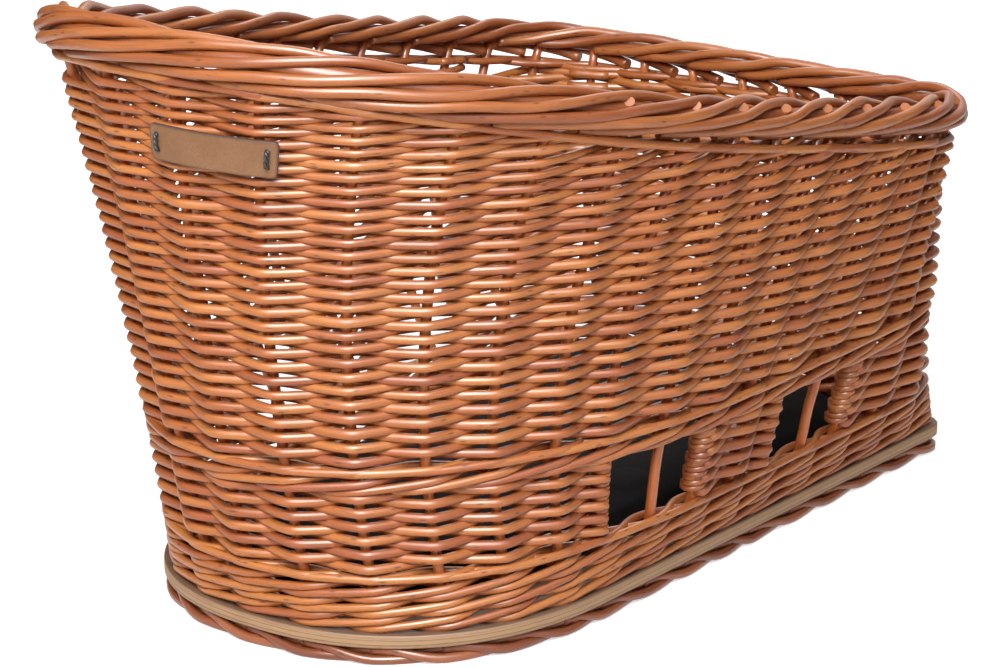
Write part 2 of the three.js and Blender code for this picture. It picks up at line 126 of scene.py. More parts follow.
# Weave
FRONT_ROWS = 55
BACK_ROWS = 22
LOW_ROW = 1.14  # height of the lowest row beside a middle one
HIGH_ROW = 0.86  # height of the highest row beside a middle one
ROW_UNEVEN = 0.06  # how far a row's height strays, as a share of it
ROD_FILL = 1.3  # thickness of a rod beside the height of its row, at the front
SIDE_FILL = 1.38  # the same at the sides
NEAR_SPARE = 1.6  # how many rows too high a rod may run before it ends under the border
FAR_SPARE = 0.2  # the same on the right side
FAR_STATION = -5  # the stake where the right side starts
ROD_KINK = 0.94  # 1 is a sharp bend at the stakes
TAUT = 0.8  # how straight a rod runs from stake to stake
TUCK = 0.35  # how far a rod's end runs past its last stake, in bays
TUCK_DEPTH = 1.5 * MM  # how far in the end is pushed
TUCK_RUN = 0.5  # how many bays it takes to get there
ROD_WAVE = 0.3 * MM  # how far a rod wanders up and down
ROD_SWELL = 0.04  # how far its thickness wanders, as a share of it
ROD_TAPER = (1.05, 0.93)  # thickness of its thick and its thin end
PITCH_CHANGE = (2, 13)  # the stakes between which the rows' height changes
FILL_CHANGE = (4, 8)  # the stakes between which the rods' thickness changes
BAY_STEPS = 8
BAY_PLACES = np.array([0, 0.08, 0.2, 0.36, 0.5, 0.64, 0.8, 0.92])
ROD_SIDES = 8


def smooth(low, high, value):
    """0 below low, 1 above high, and a smooth climb between."""
    share = np.clip((value - low) / (high - low), 0, 1)
    return share * share * (3 - 2 * share)


# The wall's shape
OUTLINE_POINTS = 1601


class Outline:
    """A plan outline, closed and mirrored about X, from the middle of the front and along -Y first: a round
    nose, a straight side, a corner as long as tail and as wide as tail_width, and half of the back."""

    def __init__(self, front, back, half_width, nose, nose_power, tail, tail_width, tail_power):
        way = np.linspace(0, 4, OUTLINE_POINTS)
        stretch = np.minimum(3, np.floor(way))
        share = way - stretch
        sine = np.sin(share * math.pi / 2)
        cosine = np.maximum(0, np.cos(share * math.pi / 2))
        parts = [stretch == 0, stretch == 1, stretch == 2]
        x = np.select(
            parts,
            [
                front + nose * (1 - cosine ** (2 / nose_power)),
                (front + nose) * (1 - share) + (back - tail) * share,
                back - tail * (1 - sine ** (2 / tail_power)),
            ],
            back,
        )
        y = np.select(
            parts,
            [
                half_width * sine ** (2 / nose_power),
                half_width,
                half_width - tail_width * (1 - cosine ** (2 / tail_power)),
            ],
            (half_width - tail_width) * (1 - share),
        )
        self.x = np.concatenate([x, x[-2::-1]])
        self.y = np.concatenate([-y, y[-2::-1]])
        run = np.concatenate([[0], np.cumsum(np.hypot(np.diff(self.x), np.diff(self.y)))])
        self.length = run[-1]
        self.share = run / run[-1]

    def at(self, share):
        share = np.mod(share, 1)
        return np.stack([np.interp(share, self.share, self.x), np.interp(share, self.share, self.y)], -1)


board_outline = Outline(
    BOARD_BACK - BOARD_LENGTH, BOARD_BACK, BOARD_WIDTH / 2,
    BOARD_NOSE, BOARD_NOSE_POWER, BOARD_CORNER, BOARD_CORNER, 2,
)
foot_outline = Outline(
    BOARD_BACK - BOARD_LENGTH + WALL_INSET, BOARD_BACK - WALL_INSET, BOARD_WIDTH / 2 - WALL_INSET,
    BOARD_NOSE - WALL_INSET, BOARD_NOSE_POWER, WALL_CORNER, WALL_CORNER, 2,
)
waist_outline = Outline(
    WAIST_BACK - WAIST_LENGTH + WALL / 2, WAIST_BACK - WALL / 2, WAIST_WIDTH / 2 - WALL / 2,
    WAIST_NOSE, WAIST_NOSE_POWER, WAIST_CORNER, WAIST_CORNER, 2,
)
rim_outline = Outline(
    RIM_BACK - RIM_LENGTH, RIM_BACK, RIM_WIDTH / 2,
    RIM_NOSE, RIM_NOSE_POWER, RIM_TAIL, RIM_WIDTH / 2, RIM_TAIL_POWER,
)


def stake_shares(outline, front_bay, side_bay):
    """Each stake's share of the way round an outline."""
    room = outline.length / 2 - FRONT_BAYS * front_bay - SIDE_BAYS * side_bay
    corner_bay = room * CORNER_ROOM / CORNER_BAYS
    back_bay = room * (1 - CORNER_ROOM) / (BACK_BAYS - CORNER_BAYS)
    behind = [corner_bay] * CORNER_BAYS + [back_bay] * (BACK_BAYS - CORNER_BAYS)
    half = [front_bay] * FRONT_BAYS + [side_bay] * SIDE_BAYS + behind
    return np.concatenate([[0], np.cumsum(half + half[::-1])]) / outline.length


foot_shares = stake_shares(foot_outline, FRONT_BAY, SIDE_BAY)
for edge, shift in ((FRONT_BAYS, FIRST_EDGE), (FRONT_BAYS + SIDE_BAYS - WINDOW_BAYS, SECOND_EDGE)):
    foot_shares[edge] -= shift / foot_outline.length
    foot_shares[STAKES - edge] += shift / foot_outline.length
rim_shares = stake_shares(rim_outline, RIM_FRONT_BAY, RIM_SIDE_BAY)


def share_at(shares, station):
    """A stake's share of the way round, also for places between two stakes."""
    return np.interp(np.mod(station, STAKES), np.arange(STAKES + 1), shares)


def leaning_share(station):
    """The same at the rim, with the stakes' lean."""
    return share_at(rim_shares, station) + RIM_LEAN / rim_outline.length


def rim_top(station):
    """Height of the top of the border: a gentle sweep down from the front to the back."""
    share = (rim_outline.at(leaning_share(station))[..., 0] - RIM_BACK) / RIM_LENGTH + 1
    return (
        RIM_FRONT_HEIGHT * (1 - share) * (1 - 2 * share)
        + RIM_MIDDLE_HEIGHT * 4 * share * (1 - share)
        + RIM_BACK_HEIGHT * share * (2 * share - 1)
    )


def wall_middle(station, z):
    """The middle of the wall: a smooth sweep from the board through the waist to the rim."""
    station, z = np.broadcast_arrays(np.asarray(station, float), np.asarray(z, float))
    top = rim_top(station) - BORDER / 2
    foot_turn, rim_turn = share_at(foot_shares, station), leaning_share(station)
    waist_turn = foot_turn + WAIST_LEAN * (rim_turn - foot_turn) * (HEAD - BOARD_TOP) / (top - BOARD_TOP)
    foot = foot_outline.at(foot_turn)
    waist = waist_outline.at(waist_turn)
    rim = rim_outline.at(rim_turn)
    a = (z - HEAD) * (z - top) / ((BOARD_TOP - HEAD) * (BOARD_TOP - top))
    b = (z - BOARD_TOP) * (z - top) / ((HEAD - BOARD_TOP) * (HEAD - top))
    c = (z - BOARD_TOP) * (z - HEAD) / ((top - BOARD_TOP) * (top - HEAD))
    plan = foot * a[..., None] + waist * b[..., None] + rim * c[..., None]
    return np.concatenate([plan, z[..., None]], -1)


def wall_out(station, z):
    """The level direction out of the wall."""
    station = np.asarray(station)
    nearby = 0.08
    along = wall_middle(station + nearby, z) - wall_middle(station - nearby, z)
    out = np.stack([along[..., 1], -along[..., 0], np.zeros_like(along[..., 0])], -1)
    return out / np.linalg.norm(out, axis=-1, keepdims=True)


def wall_point(station, z, offset):
    """A place as far as offset out of the middle of the wall."""
    return wall_middle(station, z) + wall_out(station, z) * np.asarray(offset)[..., None]


def woven_point(station, z, offset):
    """Like wall_point, for a taut rod that runs nearly straight from stake to stake."""
    before = np.floor(station)
    share = (station - before)[..., None]
    straight = wall_middle(before, z) * (1 - share) + wall_middle(before + 1, z) * share
    middle = wall_middle(station, z) * (1 - TAUT) + straight * TAUT
    return middle + wall_out(station, z) * np.asarray(offset)[..., None]


def stations_between(first, last):
    """Places along a rod, closest together where it bends round a stake."""
    whole = np.arange(math.floor(first), math.ceil(last) + 1)
    places = (whole[:, None] + BAY_PLACES[None, :]).ravel()
    near_end = 0.03
    inside = places[(places > first + near_end) & (places < last - near_end)]
    return np.concatenate([[first], inside, [last]])


def bay_length(station, z):
    """The width of a bay round a station."""
    return np.linalg.norm(wall_middle(station + 0.5, z) - wall_middle(station - 0.5, z))


# Rods as meshes
def rod(points, radius, tone=None):
    """One willow rod: the line it follows, its radius there and its shade from 0 to 1."""
    points = np.asarray(points, float)
    radius = np.broadcast_to(np.asarray(radius, float), len(points))
    return points, radius, dice.random() if tone is None else tone


def rings_along(points, radius, sides):
    """Rings of points round a line, turned along it without twist."""
    tangent = np.gradient(points, axis=0)
    tangent /= np.linalg.norm(tangent, axis=1, keepdims=True)
    side = np.cross(tangent[0], (0, 0, 1))
    if np.linalg.norm(side) < 0.3:  # the rod starts upright
        side = np.cross(tangent[0], (1, 0, 0))
    sides_at = []
    for direction in tangent:
        side = side - direction * side.dot(direction)
        side = side / np.linalg.norm(side)
        sides_at.append(side)
    across = np.array(sides_at)
    up = np.cross(across, tangent)
    turn = np.arange(sides) * 2 * math.pi / sides
    spokes = across[:, None] * np.cos(turn)[None, :, None] + up[:, None] * np.sin(turn)[None, :, None]
    return points[:, None] + spokes * radius[:, None, None]


GRAIN_START = 10  # metres over which the rods' grain starts at random


def rods_object(name, rods, material, sides=ROD_SIDES):
    """Joins rods into one mesh of closed tubes. Its UV map is metres along and round each rod, and its
    rod_tone attribute is each rod's own shade."""
    places, faces, uvs, tones = [], [], [], []
    first = 0
    for points, radius, tone in rods:
        rings = rings_along(points, radius, sides)
        count = len(rings)
        places.append(rings.reshape(-1, 3))
        run = np.concatenate([[0], np.cumsum(np.linalg.norm(np.diff(points, axis=0), axis=1))])
        run = run + dice.random() * GRAIN_START
        girth = 2 * math.pi * radius.mean() / sides
        ring, corner = np.meshgrid(np.arange(count - 1), np.arange(sides), indexing="ij")
        after = (corner + 1) % sides
        here, there = ring * sides, (ring + 1) * sides
        quads = np.stack([here + corner, here + after, there + after, there + corner], -1)
        faces += (quads.reshape(-1, 4) + first).tolist()
        u = np.stack([run[ring], run[ring], run[ring + 1], run[ring + 1]], -1)
        v = np.stack([corner, corner + 1, corner + 1, corner], -1) * girth
        uvs.append(np.stack([u, v], -1).reshape(-1, 2))
        for end, order in ((0, range(sides - 1, -1, -1)), (count - 1, range(sides))):
            faces.append([first + end * sides + corner for corner in order])
            uvs.append(np.full((sides, 2), run[end]))
        tones.append(np.full(count * sides, tone))
        first += count * sides
    mesh = bpy.data.meshes.new(name)
    mesh.from_pydata(np.concatenate(places).tolist(), [], faces)
    mesh.uv_layers.new(name="rod").data.foreach_set("uv", np.concatenate(uvs).astype(np.float32).ravel())
    shade = mesh.attributes.new("rod_tone", "FLOAT", "POINT")
    shade.data.foreach_set("value", np.concatenate(tones).astype(np.float32))
    mesh.polygons.foreach_set("use_smooth", [len(face) == 4 for face in faces])
    mesh.materials.append(material)
    piece = bpy.data.objects.new(name, mesh)
    bpy.context.scene.collection.objects.link(piece)
    return piece


def settle(piece, body, slot, *nodes):
    """Parents a finished piece to the body it moves with and hides the solids it stands for. slot, its
    finish, is not used.
    """
    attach(piece, body)
    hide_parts(*nodes)
    return piece


def wander(count, size, waves=3, longest=9):
    """A slow random drift along a rod, as wide as size."""
    along = np.linspace(0, 1, count)
    drift = np.zeros(count)
    for wave in range(waves):
        turns = dice.uniform(0.6, 1) * longest * (wave + 1) / waves
        drift += np.sin(2 * math.pi * (turns * along + dice.random())) / (wave + 1)
    return size * drift / 1.5


# Materials
def linear(hex_colour):
    """An sRGB hex colour as linear RGBA."""
    values = [int(hex_colour[i : i + 2], 16) / 255 for i in (1, 3, 5)]
    return [v / 12.92 if v <= 0.04045 else ((v + 0.055) / 1.055) ** 2.4 for v in values] + [1]


def feed(material, node, **links):
    """Fills a node's inputs. A link's key is the input's name, with _ for a space, or i and its number, and
    its value is a socket or a constant."""
    for key, value in links.items():
        name = key.replace("_", " ")
        socket = node.inputs[int(name[1:])] if name[0] == "i" and name[1:].isdigit() else node.inputs[name]
        if isinstance(value, bpy.types.NodeSocket):
            material.node_tree.links.new(value, socket)
        else:
            socket.default_value = value


def add_node(material, kind, settings=None, **links):
    node = material.node_tree.nodes.new(kind)
    for key, value in (settings or {}).items():
        setattr(node, key, value)
    feed(material, node, **links)
    return node


def new_material(name):
    material = bpy.data.materials.new(name)
    material.use_nodes = True
    shader = material.node_tree.nodes["Principled BSDF"]
    return material, shader


def colour_ramp(material, stops, factor):
    ramp = add_node(material, "ShaderNodeValToRGB", Fac=factor)
    while len(ramp.color_ramp.elements) < len(stops):
        ramp.color_ramp.elements.new(0.5)
    for element, (place, colour) in zip(ramp.color_ramp.elements, stops):
        element.position = place
        element.color = linear(colour)
    return ramp.outputs["Color"]


def stretched(material, place, *sizes):
    """Places for a pattern whose unit is sizes, in metres."""
    scale = [1 / size for size in sizes]
    return add_node(material, "ShaderNodeMapping", Vector=place, Scale=scale).outputs["Vector"]


def noise(material, place, detail, settings=None, **links):
    texture = add_node(material, "ShaderNodeTexNoise", settings, Vector=place, Detail=detail, **links)
    return texture.outputs["Fac"]


def rescaled(material, value, low, high, to_low, to_high):
    """A value's range from low to high, turned into the one from to_low to to_high."""
    return add_node(
        material, "ShaderNodeMapRange", Value=value,
        From_Min=low, From_Max=high, To_Min=to_low, To_Max=to_high,
    ).outputs["Result"]


def mixed(material, share, colour, other):
    return add_node(
        material, "ShaderNodeMix", {"data_type": "RGBA"}, i0=share, i6=colour, i7=linear(other)
    ).outputs[2]


def lightened(material, colour, factor):
    return add_node(
        material, "ShaderNodeVectorMath", {"operation": "SCALE"}, i0=colour, Scale=factor
    ).outputs["Vector"]


def relief(material, height, strength, depth, **links):
    bump = add_node(material, "ShaderNodeBump", Strength=strength, Distance=depth, Height=height, **links)
    return bump.outputs["Normal"]


BUD_SCAR = "#4E2412"
FLAT_PATTERN = {"noise_dimensions": "2D"}


def willow(name, dark, middle, light, red, roughness):
    """Buff willow, boiled and stripped of its bark: an orange-brown satin skin with fine lengthwise grain,
    redder stretches, and small dark scars where the buds were."""
    material, shader = new_material(name)
    along = add_node(material, "ShaderNodeUVMap", {"uv_map": "rod"}).outputs["UV"]
    tone = add_node(material, "ShaderNodeAttribute", {"attribute_name": "rod_tone"}).outputs["Fac"]
    grain_place = stretched(material, along, 18 * MM, 0.9 * MM, 1)
    grain = noise(material, grain_place, 3.0, FLAT_PATTERN, Scale=1.0, Roughness=0.6)
    patch = noise(material, stretched(material, along, 45 * MM, 9 * MM, 1), 2.0, FLAT_PATTERN, Scale=1.0)
    scar = add_node(
        material, "ShaderNodeTexVoronoi", {"voronoi_dimensions": "2D"},
        Vector=stretched(material, along, 34 * MM, 9 * MM, 1), Scale=1.0,
    ).outputs["Distance"]
    body = colour_ramp(material, [(0.0, dark), (0.5, middle), (1.0, light)], tone)
    reddened = mixed(material, rescaled(material, patch, 0.5, 0.75, 0.0, 0.3), body, red)
    grained = lightened(material, reddened, rescaled(material, grain, 0.25, 0.75, 0.78, 1.16))
    scarred = mixed(material, rescaled(material, scar, 0.03, 0.08, 0.7, 0.0), grained, BUD_SCAR)
    gloss = rescaled(material, patch, 0.2, 0.8, roughness - 0.08, roughness + 0.1)
    skin = relief(material, grain, 0.25, 0.2 * MM)
    feed(material, shader, Base_Color=scarred, Roughness=gloss, Normal=skin, Specular_IOR_Level=0.5)
    return material


weave_willow = willow("willow_weaver", "#9B5229", "#AC632E", "#BA7338", "#A04C24", 0.42)
# The stakes get lighter colours than the weavers: painted light, making up for the light they lose standing
# recessed behind the rods.
stake_willow = willow("willow_stake_painted_light", "#AE5C2C", "#BE6A34", "#CA7A40", "#A85026", 0.36)
border_willow = willow("willow_border", "#924C24", "#A45C2A", "#B26A36", "#984824", 0.4)
foot_willow = willow("willow_foot", "#7C4024", "#8C4C2A", "#9A5834", "#7C3C24", 0.34)


# Upper weave: plain randing, in front of one stake and behind the next. Its rows rise a little towards the
# back, and the ones at the tall front end where they meet the border
class RowStack:
    """The rows of the upper weave from the bottom up, and where each lies at any station."""

    def __init__(self, bottom, top):
        self.bottom = bottom
        self.stations = np.arange(-HALF_ROUND, HALF_ROUND + 1e-6, 1 / BAY_STEPS)
        around = np.abs(self.stations)
        room = top(self.stations) - bottom
        uneven = dice.uniform(1 - ROW_UNEVEN, 1 + ROW_UNEVEN, FRONT_ROWS)
        self.weights = np.linspace(LOW_ROW, HIGH_ROW, FRONT_ROWS) * uneven
        tops = np.cumsum(self.weights)
        front_pitch = room[around == 0][0] / tops[-1]
        back_pitch = room[0] / tops[BACK_ROWS - 1]
        self.pitch = front_pitch + (back_pitch - front_pitch) * smooth(*PITCH_CHANGE, around)
        self.below = tops - self.weights / 2
        self.fill = ROD_FILL + (SIDE_FILL - ROD_FILL) * smooth(*FILL_CHANGE, around)
        spare = np.where(self.stations < FAR_STATION, FAR_SPARE, NEAR_SPARE)
        self.fits = tops[:, None] * self.pitch <= room + spare * self.pitch

    def reach(self, row, way):
        """The last stake that a row reaches on one side before it runs into the border."""
        stake = 0
        while stake < HALF_ROUND and self.fits[row][(HALF_ROUND + way * (stake + 1)) * BAY_STEPS]:
            stake += 1
        return stake

    def at(self, row, station):
        turned = np.mod(station + HALF_ROUND, STAKES) - HALF_ROUND
        pitch = np.interp(turned, self.stations, self.pitch)
        fill = np.interp(turned, self.stations, self.fill)
        return self.bottom + self.below[row] * pitch, fill * self.weights[row] * pitch


def randing(station, row):
    """How far in front of the stakes a row passes: 1 in front, -1 behind, and nearly straight between."""
    return np.arcsin(ROD_KINK * np.cos(math.pi * (station + row))) / math.asin(ROD_KINK)


def tucked_in(station):
    """How far a rod is pushed in towards its ends."""
    ends = np.minimum(station - station[0], station[-1] - station)
    return (1 - smooth(0, TUCK_RUN, ends)) * TUCK_DEPTH


def row_rod(stack, row, first, last):
    """A rod along one row, from stake to stake, with its ends tucked in behind them."""
    station = stations_between(first - TUCK, last + TUCK)
    z, thick = stack.at(row, station)
    taper = np.linspace(*ROD_TAPER, len(station))
    if dice.random() < 0.5:
        taper = taper[::-1]
    radius = thick / 2 * taper * (1 + wander(len(station), ROD_SWELL))
    z = z + wander(len(station), ROD_WAVE)
    offset = randing(station, row) * (STAKE + thick) / 2 - tucked_in(station)
    return rod(woven_point(station, z, offset), radius)


def behind_near(station, row):
    """The nearest stake that a row passes behind."""
    stake = round(station)
    return stake if (stake + row) % 2 else stake + 1


ROD_BAYS = (14, 22)  # how many bays the first rod of a full round passes
LONGEST_ROD = 20  # bays over which a row takes two rods
SHORTEST_ROD = 6  # bays that each of the two passes at least


def upper_weave():
    stack = RowStack(HEAD + MIDDLE_WALE, lambda station: rim_top(station) - BORDER - TOP_WALE)
    rods = []
    for row in range(FRONT_ROWS):
        left, right = stack.reach(row, 1), stack.reach(row, -1)
        if left == HALF_ROUND:
            start = behind_near(dice.uniform(-HALF_ROUND, HALF_ROUND), row)
            middle = behind_near(start + dice.uniform(*ROD_BAYS), row)
            stops = [start, middle, start + STAKES]
        else:
            stops = [behind_near(-right, row), behind_near(left, row)]
            if stops[1] - stops[0] > LONGEST_ROD:
                middle = dice.uniform(stops[0] + SHORTEST_ROD, stops[1] - SHORTEST_ROD)
                stops.insert(1, behind_near(middle, row))
        rods += [row_rod(stack, row, first, last) for first, last in zip(stops, stops[1:])]
    piece = rods_object("upper_weave_rods", rods, weave_willow)
    return settle(piece, "basket", "weave_willow", "upper_weave")


# Window band: panels whose rods are wound round the stakes at the windows' edges
EDGE_ROD = 0.66  # thickness of a rod where it is wound round the last stake, beside the rest of it
EDGE_COIL = 2.0  # height of its coil, in rows
EDGE_TURNS = 2.5  # turns of its coil
EDGE_STEPS = 28
EDGE_TIGHT = 0.75  # how far a coil reaches along the wall at a panel's last stake, beside its first
TOP_DROP = 0.2  # how far the highest coil is lowered, in rows
FRONT_PANEL_ROWS = 11
PANEL_ROWS = 10


def panel_rods(first, last, rows):
    """The rods of a panel, each from one end stake to the other and wound round that one."""
    pitch = (HEAD - SILL) / rows
    thick = pitch * ROD_FILL
    reach = (STAKE + thick) / 2
    close = (STAKE + EDGE_ROD * thick) / 2
    rods = []
    for row in range(rows):
        forward = row % 2 == 0
        station = stations_between(first, last)
        if not forward:
            station = station[::-1]
        z = SILL + pitch * (row + 0.5) + wander(len(station), ROD_WAVE)
        points = woven_point(station, z, randing(station, row) * reach)
        points[0] = wall_point(station[0], z[0], 0.0)
        end = station[-1]
        way = 1 if forward else -1
        share = np.linspace(0, 1, EDGE_STEPS)[1:]
        turn = 2 * math.pi * EDGE_TURNS * share
        climb = pitch * (EDGE_COIL * share + (1 - EDGE_COIL) / 2)
        if row == rows - 1:
            climb = climb / 2 - TOP_DROP * pitch
        bay = bay_length(end, z[-1])
        tight = EDGE_TIGHT if forward else 1
        loop = wall_point(
            end + way * close * tight * np.sin(turn) / bay,
            z[-1] + climb,
            float(randing(end, row)) * close * np.cos(turn),
        )
        loop[-1] = wall_point(end, z[-1] + climb[-1], 0.0)
        thinning = np.concatenate([
            np.ones(len(points) - 2),
            np.linspace(1, EDGE_ROD, 4),
            np.full(len(loop) - 2, EDGE_ROD),
        ])
        points = np.concatenate([points, loop])
        radius = thick / 2 * thinning * (1 + wander(len(points), ROD_SWELL))
        tone = rods[-1][2] if row % 2 else None
        rods.append(rod(points, radius, tone))
    return rods


def window_panels():
    first_pier = FRONT_BAYS + WINDOW_BAYS
    second_window = FRONT_BAYS + SIDE_BAYS - WINDOW_BAYS
    back_pier = FRONT_BAYS + SIDE_BAYS
    panels = {
        "window_weave_front": (-FRONT_BAYS, FRONT_BAYS, FRONT_PANEL_ROWS),
        "window_weave_left": (first_pier, second_window, PANEL_ROWS),
        "window_weave_back": (back_pier, STAKES - back_pier, PANEL_ROWS),
        "window_weave_right": (STAKES - second_window, STAKES - first_pier, PANEL_ROWS),
    }
    for node, (first, last, rows) in panels.items():
        piece = rods_object(node + "_rods", panel_rods(first, last, rows), weave_willow)
        settle(piece, "basket", "weave_willow", node)


# Wales: three rods laid together, each in front of two stakes and behind the third
WALE_PERIOD = 3
WALE_CLIMB = 1.05  # how far a strand rises in front of its two stakes, beside the height of one round
WALE_TOP_CLIMB = 0.15  # the same in the highest round
WALE_PERIODS = (5, 8)  # least and, not included, most periods that the first rod of a round passes
WALE_BULGE = 0.6 * MM  # how far a strand stands out between its two stakes
WALE_CROSS = (0.05, 0.95)  # bays from the stake where it passes from behind to the front
WALE_OUT = (0.8, 1.5)  # bays from that stake where it starts to stand out, and does so most
WALE_WAVE = 0.25 * MM
WALE_SWELL = 0.05
WALE_DOWN = (2.6, 0.4)  # where in its period a strand starts and ends its way down, behind the stake


def wale_rise(step):
    """A strand's height along its period, from -0.5 to 0.5: it climbs in front of two stakes and comes down
    behind the third."""
    leave, arrive = WALE_DOWN
    up = np.clip((step - arrive) / (leave - arrive), 0, 1) - 0.5
    down = 0.5 - smooth(leave, WALE_PERIOD + arrive, np.where(step < arrive, step + WALE_PERIOD, step))
    return np.where((step > leave) | (step < arrive), down, up)


def wale_rods(bottom, rounds, pitch, thick):
    """bottom gives the band's lower edge at a station, and pitch the height of one round."""
    reach = (STAKE + thick) / 2
    rods = []
    for lap in range(rounds):
        climb = WALE_CLIMB if lap < rounds - 1 else WALE_TOP_CLIMB
        for strand in range(WALE_PERIOD):
            start = strand + WALE_PERIOD * int(dice.integers(0, STAKES // WALE_PERIOD))
            middle = start + WALE_PERIOD * int(dice.integers(*WALE_PERIODS))
            for first, last in ((start, middle), (middle, start + STAKES)):
                station = np.arange(first - TUCK, last + TUCK + 1e-6, 1 / BAY_STEPS)
                step = np.mod(station - strand, WALE_PERIOD)
                behind = np.minimum(step, WALE_PERIOD - step)
                offset = reach * (2 * smooth(*WALE_CROSS, behind) - 1) - tucked_in(station)
                offset = offset + WALE_BULGE * smooth(*WALE_OUT, behind)
                z = bottom(station) + pitch * (lap + 0.5 + climb * wale_rise(step))
                z = z + wander(len(station), WALE_WAVE)
                radius = thick / 2 * (1 + wander(len(station), WALE_SWELL))
                rods.append(rod(woven_point(station, z, offset), radius))
    return rods


def wales():
    lower = wale_rods(
        lambda station: BOARD_TOP + 0 * station, LOWER_WALE_ROUNDS,
        (SILL - BOARD_TOP) / LOWER_WALE_ROUNDS, WALE_ROD,
    )
    middle = wale_rods(
        lambda station: HEAD + 0 * station, MIDDLE_WALE_ROUNDS, MIDDLE_WALE / MIDDLE_WALE_ROUNDS, WALE_ROD
    )
    top = wale_rods(lambda station: rim_top(station) - BORDER - TOP_WALE, 1, TOP_WALE, WALE_ROD)
    for node, rods in (("lower_wale", lower), ("middle_wale", middle), ("top_wale", top)):
        settle(rods_object(node + "_rods", rods, weave_willow), "basket", "weave_willow", node)


# Stakes, each up through the board and the weave into the border
STAKE_END = 1 * MM  # height of a stake's lower end over the board's underside
STAKE_TOP = 16 * MM  # from its upper end to the top of the border
STAKE_STEPS = 28
STAKE_SIDES = 12
STAKE_TAPER = (1.06, 0.97)
STAKE_WAVE = 0.5 * MM


def stakes():
    for station in range(STAKES):
        z = np.linspace(BOARD_BOTTOM + STAKE_END, float(rim_top(station)) - STAKE_TOP, STAKE_STEPS)
        points = wall_point(np.full(len(z), station), z, wander(len(z), STAKE_WAVE))
        radius = STAKE / 2 * np.linspace(*STAKE_TAPER, len(z))
        name = f"stake_{station + 1:02d}"
        piece = rods_object(name + "_rod", [rod(points, radius)], stake_willow, STAKE_SIDES)
        settle(piece, "basket", "stake_willow", name)


# Rim border: each stake bends over at the top, passes behind its neighbour, comes over the rim and runs
# down along the outside until the next ones cover it
def through(places, steps):
    """A smooth line through places, as many steps between each two."""
    places = np.asarray(places, float)
    ends = np.concatenate([2 * places[:1] - places[1:2], places, 2 * places[-1:] - places[-2:-1]])
    line = []
    for a, b, c, d in zip(ends, ends[1:], ends[2:], ends[3:]):
        for step in range(steps):
            t = step / steps
            square, cube = 2 * a - 5 * b + 4 * c - d, 3 * b - a - 3 * c + d
            line.append(0.5 * (2 * b + (c - a) * t + square * t**2 + cube * t**3))
    line.append(places[-1])
    return np.array(line)


# Along the border in bays, out from its middle and up from its middle, in millimetres
BORDER_STROKE = [
    (-0.7, -2.0, -14.5), (-0.2, 2.6, -11.5), (0.4, 7.2, -8.2), (1.0, 9.0, -4.8), (1.5, 9.2, -1.6),
    (2.0, 8.2, 2.0), (2.5, 5.0, 6.2), (3.0, 0.2, 8.7), (3.5, -4.6, 8.2), (4.0, -8.0, 5.2),
    (4.5, -8.8, 1.4), (5.0, -7.4, -2.2), (5.5, -4.0, -5.0),
]
BORDER_SHIFT = 0.12  # how far a rod strays along the border, in bays
BORDER_UNEVEN = 0.8  # how far it strays across, in millimetres
BORDER_SHORTER = 0.08  # how much shorter its way is towards the back
BORDER_LOWER = 0.25  # how much less low it hangs there
BORDER_CHANGE = (3, 7)  # the stakes from the front between which both set in
BORDER_TAPER = (1.06, 0.9)
BORDER_GIRTH = (0.92, 1.08)  # the thinnest and the thickest rod
BORDER_STEPS = 5
BORDER_SIDES = 10
CORE_STEPS = 6
CORE_TONE = 0.2
TIP_STEPS = 4
TIP_TONE = 0.9
TIP_STATION = 5  # the first stake from the front whose cut tip shows on top of the border
STAKE_TIP = [(0.0, 0.0, -12.0), (0.0, 0.3, -4.0), (-0.04, 1.2, 1.0), (-0.12, 4.4, 6.0)]


def border_line(stroke, station, steps):
    """A stroke of the border in space, from its station, shorter and less low towards the back."""
    line = through(stroke, steps)
    backward = smooth(*BORDER_CHANGE, min(station, STAKES - station))
    line[:, 0] *= 1 - BORDER_SHORTER * backward
    line[:, 2] *= np.where(line[:, 2] < 0, 1 - BORDER_LOWER * backward, 1)
    at = station + line[:, 0]
    middle = rim_top(at) - BORDER / 2
    points = wall_middle(at, middle) + wall_out(at, middle) * (line[:, 1] * MM)[:, None]
    points[:, 2] += line[:, 2] * MM
    return points


def rim_border():
    rods = []
    for station in range(STAKES):
        stroke = np.array(BORDER_STROKE)
        stroke[:, 0] += dice.uniform(-BORDER_SHIFT, BORDER_SHIFT)
        stroke[:, 1:] += dice.uniform(-BORDER_UNEVEN, BORDER_UNEVEN, (len(stroke), 2))
        points = border_line(stroke, station, BORDER_STEPS)
        girth = dice.uniform(*BORDER_GIRTH)
        radius = BORDER_ROD / 2 * np.linspace(*BORDER_TAPER, len(points)) * girth
        rods.append(rod(points, radius))
        if TIP_STATION <= station <= STAKES - TIP_STATION:
            rods.append(rod(border_line(STAKE_TIP, station, TIP_STEPS), STAKE / 2, TIP_TONE))
    core = border_line([(station, 0, 0) for station in range(STAKES + 1)], 0, CORE_STEPS)
    rods.append(rod(core, BORDER_CORE / 2, CORE_TONE))
    piece = rods_object("rim_border_rods", rods, border_willow, BORDER_SIDES)
    return settle(piece, "basket", "border_willow", "rim_border")


# Foot border: three rods laid round each other under the board
FOOT_INSET = 5.8 * MM
FOOT_RODS = 3
FOOT_SAG = 2.6  # above 1, each strand rises to the board only for a short way
FOOT_PAST = 0.15  # how far a strand runs past its stakes, in bays
FOOT_GATHER = 0.35  # how far its ends draw in to the middle of the border
FOOT_RUN = 0.4  # over how many bays
FOOT_GIRTH = (0.95, 1.04)  # the thinnest and the thickest strand
FOOT_STEPS = 30
FOOT_SIDES = 10


